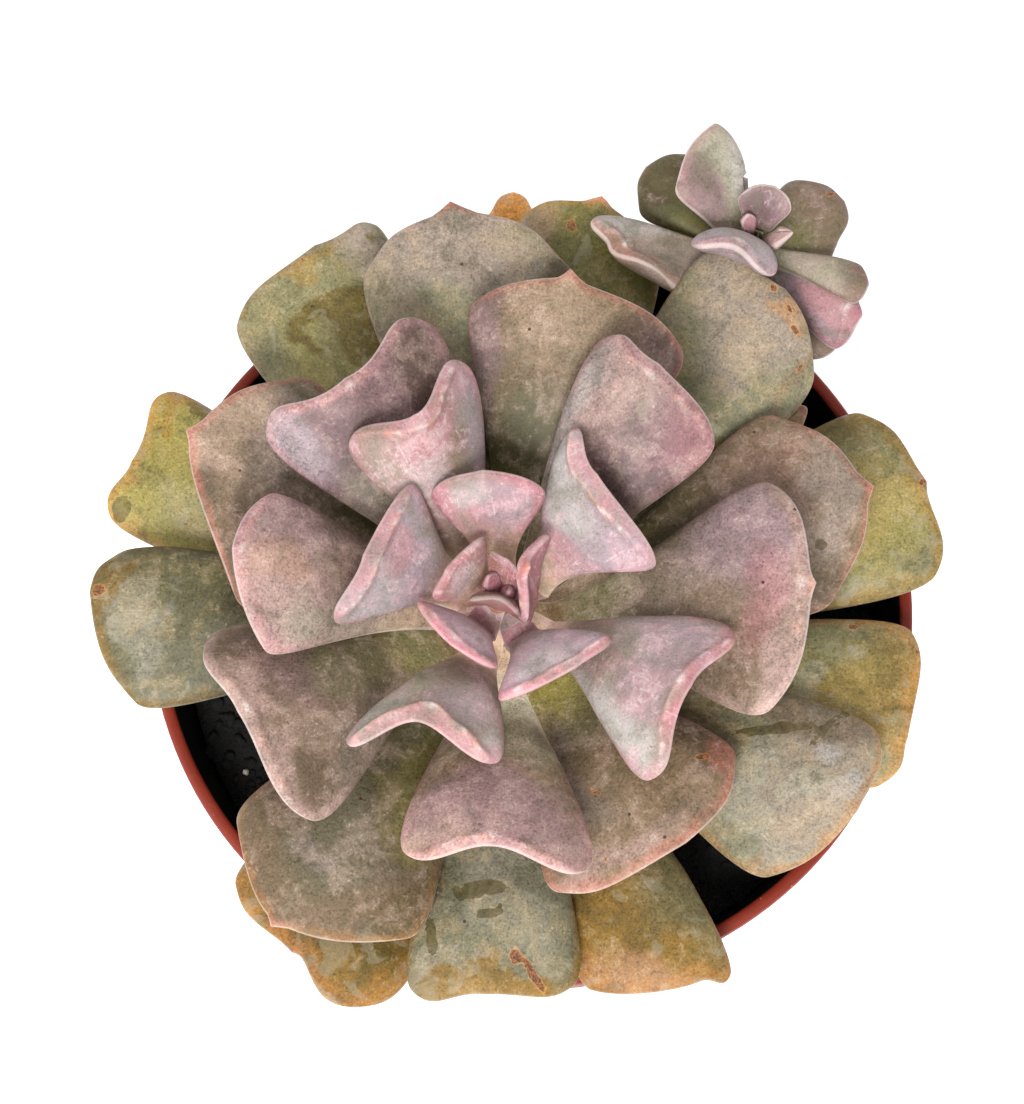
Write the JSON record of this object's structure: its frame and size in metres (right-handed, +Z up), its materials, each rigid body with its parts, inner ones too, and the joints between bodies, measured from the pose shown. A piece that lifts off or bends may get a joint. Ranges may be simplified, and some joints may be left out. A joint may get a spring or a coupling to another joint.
{
  "type": "potted cubic frost echeveria",
  "caption": "Fleshy rosette succulent with keeled, square-ended leaves and a small side shoot, in a round tapered nursery pot of peat.",
  "frame": {"origin": "centre of the pot's base, on the surface that it stands on", "axes": "+Z up along the pot's axis, +X to the right and +Y to the far side as the plant is pictured"},
  "size_m": [0.1117, 0.1164, 0.1135],
  "materials": {
    "pot_plastic": "red-brown moulded plastic with a dusty rim",
    "peat": "damp black peat with white grains",
    "stem_bark": "dry brown stem with leaf scars",
    "inner_leaf": "pink-lavender flesh under a pale waxy bloom",
    "middle_leaf": "mauve-brown flesh, speckled, with a pale margin",
    "outer_leaf": "olive flesh with rubbed bloom and ochre edges",
    "shoot_leaf": "grey-green and mauve flesh with pink margins"
  },
  "bodies": {
    "root": {"pot": "pot_plastic", "soil": "peat", "stem": "stem_bark", "growing_tip": "inner_leaf", "leaf_04": "inner_leaf", "leaf_05": "inner_leaf", "leaf_06": "inner_leaf", "leaf_07": "inner_leaf", "leaf_08": "inner_leaf", "leaf_09": "inner_leaf", "leaf_10": "inner_leaf", "leaf_11": "inner_leaf", "leaf_12": "inner_leaf", "leaf_13": "inner_leaf", "leaf_14": "middle_leaf", "leaf_15": "middle_leaf", "leaf_16": "middle_leaf", "leaf_17": "middle_leaf", "leaf_18": "middle_leaf", "leaf_19": "middle_leaf", "leaf_20": "middle_leaf", "leaf_21": "middle_leaf", "leaf_22": "middle_leaf", "leaf_23": "middle_leaf", "leaf_24": "middle_leaf", "leaf_25": "outer_leaf", "leaf_26": "outer_leaf", "leaf_27": "outer_leaf", "leaf_28": "outer_leaf", "leaf_29": "outer_leaf", "leaf_30": "outer_leaf", "leaf_31": "outer_leaf", "leaf_33": "outer_leaf", "leaf_34": "outer_leaf", "leaf_35": "outer_leaf", "leaf_36": "outer_leaf", "leaf_37": "outer_leaf", "leaf_38": "outer_leaf", "leaf_39": "outer_leaf", "side_shoot": "shoot_leaf"}
  },
  "joints": []
}
